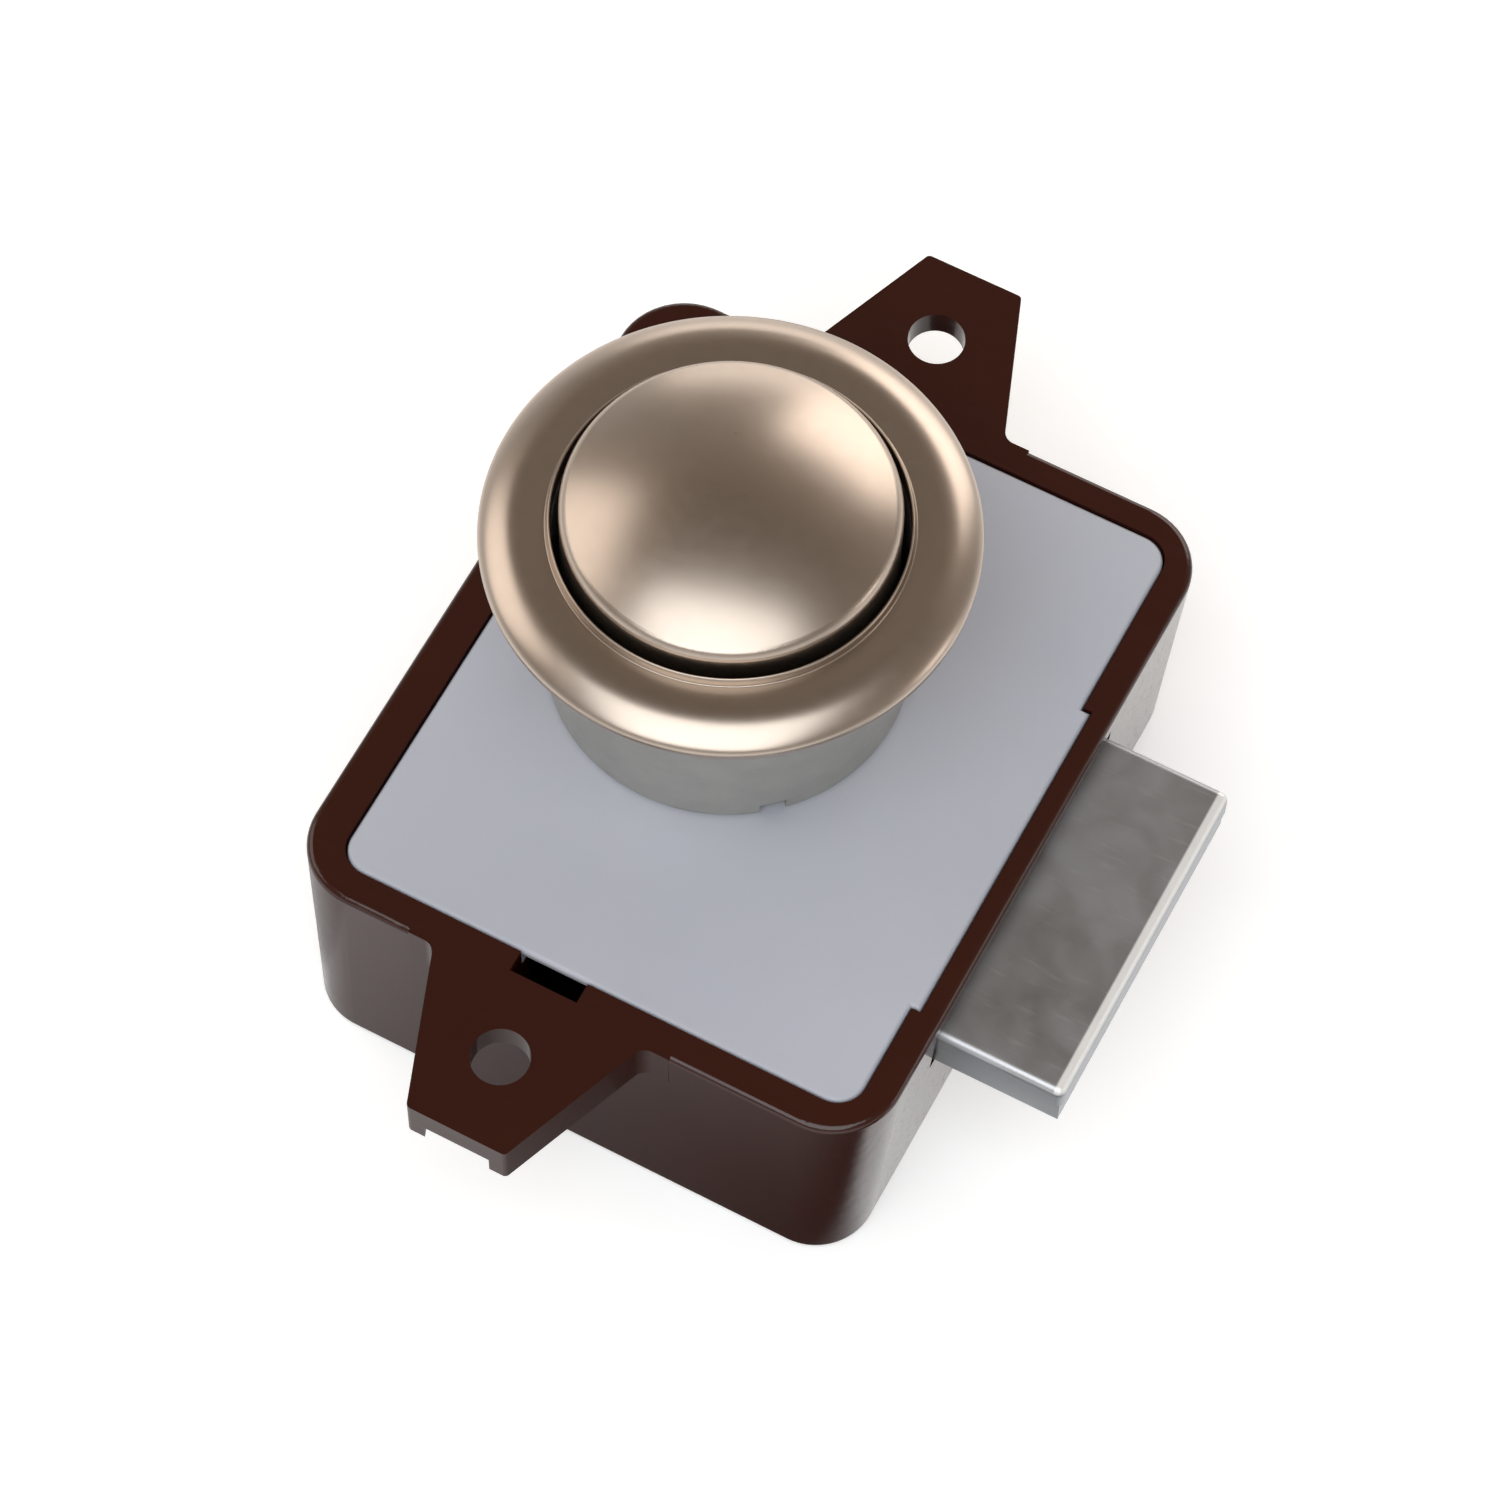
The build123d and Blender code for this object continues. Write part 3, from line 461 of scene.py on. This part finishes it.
def barrel_thread():
    """The barrel's neck and flange, with the helical thread that the rosette screws onto."""
    mesh = turned(BARREL_SECTION, BARREL_STEPS)
    corners, edges = outline(mesh, THREAD_SECTION)
    ridge = bmesh.ops.spin(
        mesh,
        geom=corners + edges,
        cent=(0, 0, 0),
        axis=(0, 0, 1),
        dvec=(0, 0, THREAD_PITCH * MM / THREAD_STEPS),
        angle=2 * pi * THREAD_TURNS,
        steps=THREAD_TURNS * THREAD_STEPS,
    )
    # The crest of either end is drawn in to the thread's root, so that the ridge runs out
    root_radius, crest_radius = THREAD_SECTION[0][0], THREAD_SECTION[1][0]
    halfway = (root_radius + crest_radius) / 2 * MM
    ends = corners + [item for item in ridge["geom_last"] if isinstance(item, bmesh.types.BMVert)]
    crest = [corner for corner in ends if corner.co.xy.length > halfway]
    run_out = root_radius / crest_radius
    bmesh.ops.scale(mesh, vec=(run_out, run_out, 1), verts=crest)
    open_edges = [edge for edge in mesh.edges if edge.is_boundary]
    bmesh.ops.holes_fill(mesh, edges=open_edges, sides=len(THREAD_SECTION))
    bmesh.ops.recalc_face_normals(mesh, faces=mesh.faces)
    barrel = finished_piece("barrel_thread", mesh, "barrel_zinc", "housing", "threaded_barrel")
    bevel = barrel.modifiers.new("edges", "BEVEL")
    bevel.width = BARREL_EDGE_WIDTH
    bevel.segments = BARREL_EDGE_SEGMENTS
    bevel.limit_method = "ANGLE"
    bevel.angle_limit = BARREL_EDGE_ANGLE
    bevel.harden_normals = True


rosette_face()
barrel_thread()


def floor():
    """Plain pale floor, white to the camera and in reflections, except for painted shade by the
    case that only reflections see.
    """
    plane = bmesh.new()
    bmesh.ops.create_grid(plane, x_segments=1, y_segments=1, size=FLOOR_SIZE / 2)
    bmesh.ops.translate(plane, verts=plane.verts, vec=(0, 0, cad_low.z))
    mesh = bpy.data.meshes.new("floor")
    plane.to_mesh(mesh)
    plane.free()
    ground = bpy.data.objects.new("floor", mesh)
    bpy.context.scene.collection.objects.link(ground)
    finish = Finish("floor", FLOOR_COLOUR, FLOOR_ROUGHNESS)
    finish.set(finish.shader, "Specular IOR Level", 0.0)
    path = finish.add("ShaderNodeLightPath")
    gloss = path.outputs["Is Glossy Ray"]
    seen = finish.maths("MAXIMUM", path.outputs["Is Camera Ray"], gloss)
    seen = finish.maths("MAXIMUM", seen, path.outputs["Is Transmission Ray"])
    x, y, _ = finish.axes()
    # Painted shade: to glossy rays the floor is dark in front of the case and to its left,
    # darkening what the metal and the case reflect
    front = finish.product(
        finish.fade(x, FRONT_REFLECTION_SHADE["left"], FRONT_REFLECTION_SHADE["right"]),
        finish.fade(y, FRONT_REFLECTION_SHADE["near"], FRONT_REFLECTION_SHADE["far"]),
        finish.fade(y, FRONT_REFLECTION_SHADE["end"], FRONT_REFLECTION_SHADE["far"]),
        FRONT_REFLECTION_SHADE["depth"],
    )
    left = finish.product(
        finish.fade(x, LEFT_REFLECTION_SHADE["near"], LEFT_REFLECTION_SHADE["far"]),
        finish.fade(x, LEFT_REFLECTION_SHADE["end"], LEFT_REFLECTION_SHADE["far"]),
        LEFT_REFLECTION_SHADE["depth"],
    )
    # The painted shade darkens the floor's colour and dims its glow, for glossy rays only
    shade = finish.product(finish.maths("MAXIMUM", front, left), gloss)
    finish.drive("Base Color", finish.mix(shade, FLOOR_COLOUR, (0, 0, 0)))
    finish.set(finish.shader, "Emission Color", (1, 1, 1, 1))
    unshaded = finish.maths("SUBTRACT", 1, shade)
    finish.drive("Emission Strength", finish.product(seen, FLOOR_GLOW, unshaded))
    mesh.materials.append(finish.material)


def sky():
    """World: pale at the horizon, dimmer above, and white behind the object."""
    world = bpy.data.worlds.new("studio")
    bpy.context.scene.world = world
    world.use_nodes = True
    tree = world.node_tree
    tree.nodes.clear()
    place = tree.nodes.new("ShaderNodeTexCoord")
    parts = tree.nodes.new("ShaderNodeSeparateXYZ")
    ramp = tree.nodes.new("ShaderNodeValToRGB")
    path = tree.nodes.new("ShaderNodeLightPath")
    light = tree.nodes.new("ShaderNodeBackground")
    white = tree.nodes.new("ShaderNodeBackground")
    mixed = tree.nodes.new("ShaderNodeMixShader")
    output = tree.nodes.new("ShaderNodeOutputWorld")
    elements = ramp.color_ramp.elements
    while len(elements) < len(SKY_STOPS):
        elements.new(1.0)
    for element, (place_up, colour) in zip(elements, SKY_STOPS):
        element.position = place_up
        element.color = (*colour, 1)
    white.inputs["Color"].default_value = (1, 1, 1, 1)
    tree.links.new(place.outputs["Generated"], parts.inputs[0])
    tree.links.new(parts.outputs["Z"], ramp.inputs["Fac"])
    tree.links.new(ramp.outputs["Color"], light.inputs["Color"])
    tree.links.new(path.outputs["Is Camera Ray"], mixed.inputs["Fac"])
    tree.links.new(light.outputs[0], mixed.inputs[1])
    tree.links.new(white.outputs[0], mixed.inputs[2])
    tree.links.new(mixed.outputs[0], output.inputs["Surface"])


def softboxes():
    """Large soft lamps round the object, each facing it."""
    for name, box in SOFTBOXES.items():
        lamp = bpy.data.lights.new(name, "AREA")
        lamp.shape = "RECTANGLE"
        lamp.size, lamp.size_y = box["size"]
        lamp.color = COOL_LIGHT if name == "overhead_softbox" else WARM_LIGHT
        lamp.energy = box["radiance"] * lamp.size * lamp.size_y * pi
        lamp_object = bpy.data.objects.new(name, lamp)
        bpy.context.scene.collection.objects.link(lamp_object)
        away = direction(radians(box["azimuth"]), radians(box["elevation"]))
        lamp_object.location = away * SOFTBOX_DISTANCE
        lamp_object.rotation_euler = away.to_track_quat("Z", "Y").to_euler()


def camera():
    """The photograph's camera."""
    back = direction(CAMERA_AZIMUTH, CAMERA_ELEVATION)
    level = Vector((cos(CAMERA_AZIMUTH), sin(CAMERA_AZIMUTH), 0))
    upright = back.cross(level)
    right = cos(CAMERA_ROLL) * level + sin(CAMERA_ROLL) * upright
    up = cos(CAMERA_ROLL) * upright - sin(CAMERA_ROLL) * level
    lens = bpy.data.cameras.new("camera")
    lens.lens = CAMERA_LENS
    lens.sensor_width = CAMERA_SENSOR
    lens.clip_start, lens.clip_end = CAMERA_CLIP
    view = bpy.data.objects.new("camera", lens)
    bpy.context.scene.collection.objects.link(view)
    turn = Matrix((right, up, back)).transposed().to_4x4()
    view.matrix_world = Matrix.Translation(CAMERA_TARGET + back * CAMERA_DISTANCE) @ turn
    bpy.context.scene.camera = view


floor()
sky()
softboxes()
camera()
bpy.context.scene.view_settings.view_transform = "Standard"
